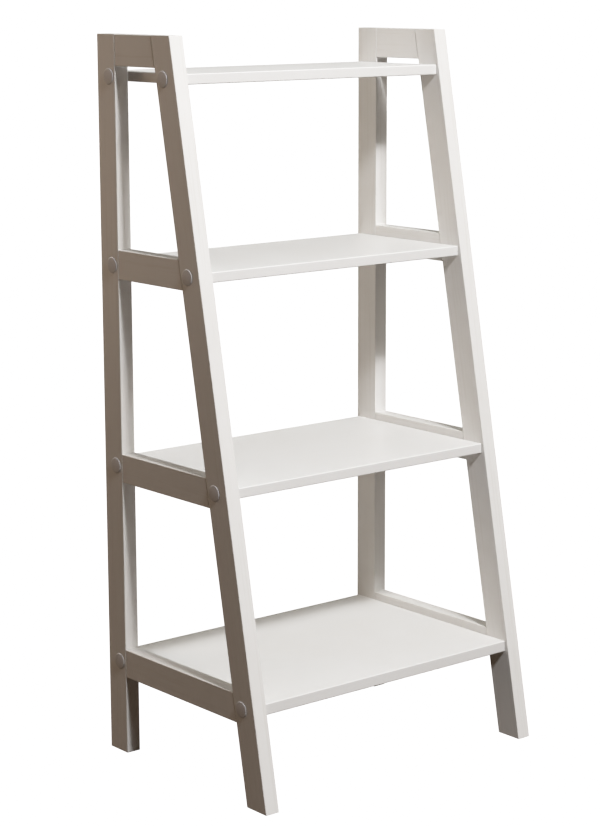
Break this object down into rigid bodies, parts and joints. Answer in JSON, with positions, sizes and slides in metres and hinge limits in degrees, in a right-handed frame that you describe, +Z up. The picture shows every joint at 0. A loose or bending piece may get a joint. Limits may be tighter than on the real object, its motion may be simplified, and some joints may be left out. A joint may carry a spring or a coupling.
{
  "type": "ladder shelf",
  "caption": "Painted ladder-style shelving unit: open side frames with upright rear legs and raked front legs carry boards that grow deeper towards the floor.",
  "frame": {"origin": "on the floor, midway between the side frames and midway between the front toes and the backs of the rear legs", "axes": "+Z up; the open front with the raked legs faces -Y and the upright rear legs are at +Y; X runs along the boards, left frame at -X seen from the front"},
  "size_m": [0.5602, 0.407, 1.15],
  "materials": {
    "frame_paint": "satin white paint over smooth close-grained wood, arrises eased",
    "board_paint": "satin white sprayed paint over board, arrises eased",
    "cap_plastic": "white moulded plastic, soft sheen",
    "screw_steel": "bright zinc plate"
  },
  "bodies": {
    "root": {"left_rear_leg": "frame_paint", "left_front_leg": "frame_paint", "left_top_block": "frame_paint", "left_rail_2": "frame_paint", "left_rail_3": "frame_paint", "left_rail_4": "frame_paint", "right_rear_leg": "frame_paint", "right_front_leg": "frame_paint", "right_top_block": "frame_paint", "right_rail_2": "frame_paint", "right_rail_3": "frame_paint", "right_rail_4": "frame_paint", "shelf_1": "board_paint", "shelf_2": "board_paint", "shelf_3": "board_paint", "shelf_4": "board_paint", "screw_left_rear_1": "screw_steel", "screw_left_front_1": "screw_steel", "screw_left_rear_2": "screw_steel", "screw_left_front_2": "screw_steel", "screw_left_rear_3": "screw_steel", "screw_left_front_3": "screw_steel", "screw_left_rear_4": "screw_steel", "screw_left_front_4": "screw_steel", "screw_right_rear_1": "screw_steel", "screw_right_front_1": "screw_steel", "screw_right_rear_2": "screw_steel", "screw_right_front_2": "screw_steel", "screw_right_rear_3": "screw_steel", "screw_right_front_3": "screw_steel", "screw_right_rear_4": "screw_steel", "screw_right_front_4": "screw_steel", "cap_left_rear_1": "cap_plastic", "cap_left_front_1": "cap_plastic", "cap_left_rear_2": "cap_plastic", "cap_left_front_2": "cap_plastic", "cap_left_rear_3": "cap_plastic", "cap_left_front_3": "cap_plastic", "cap_left_rear_4": "cap_plastic", "cap_left_front_4": "cap_plastic", "cap_right_rear_1": "cap_plastic", "cap_right_front_1": "cap_plastic", "cap_right_rear_2": "cap_plastic", "cap_right_front_2": "cap_plastic", "cap_right_rear_3": "cap_plastic", "cap_right_front_3": "cap_plastic", "cap_right_rear_4": "cap_plastic", "cap_right_front_4": "cap_plastic"}
  },
  "joints": []
}
